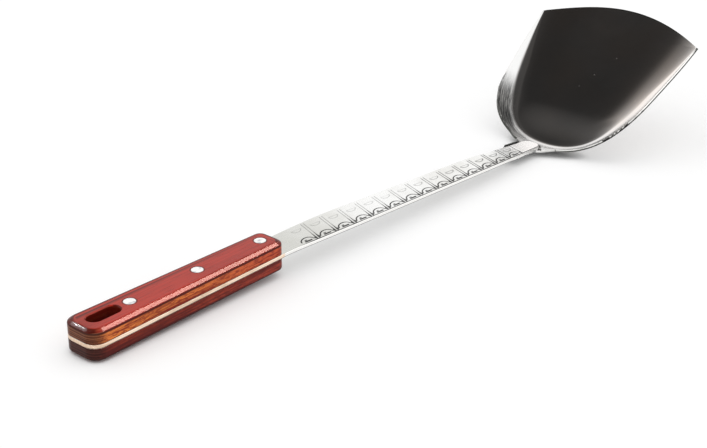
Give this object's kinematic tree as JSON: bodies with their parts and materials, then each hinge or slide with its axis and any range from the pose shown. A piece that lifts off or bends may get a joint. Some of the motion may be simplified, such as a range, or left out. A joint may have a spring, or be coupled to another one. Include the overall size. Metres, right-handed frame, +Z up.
{
  "type": "cooking spatula",
  "caption": "Wok spatula: dished shield-shaped steel blade on a long tapering steel shaft, riveted wooden handle with a hanging slot.",
  "frame": {"origin": "on the table, under the middle of the spatula's bounding box as it lies at rest", "axes": "+X from the handle's butt to the blade, +Y to the left, +Z up; the handle tips up 1.5 degrees towards the blade"},
  "size_m": [0.4076, 0.1036, 0.0612],
  "materials": {
    "blade_steel": "mirror polished inside, finely brushed on the wall",
    "polished_steel": "bright satin, stamped with a repeated leaf ornament",
    "weld_metal": "dull weld bead",
    "upper_wood": "red-brown stained, semi-gloss lacquer",
    "lower_wood": "red-brown stained, semi-gloss lacquer",
    "rivet_metal": "ground flush, satin"
  },
  "bodies": {
    "root": {"blade": "blade_steel", "shaft_tang": "polished_steel", "neck_weld": "weld_metal", "upper_scale": "upper_wood", "lower_scale": "lower_wood", "rivet_1": "rivet_metal", "rivet_2": "rivet_metal", "rivet_3": "rivet_metal"}
  },
  "joints": []
}
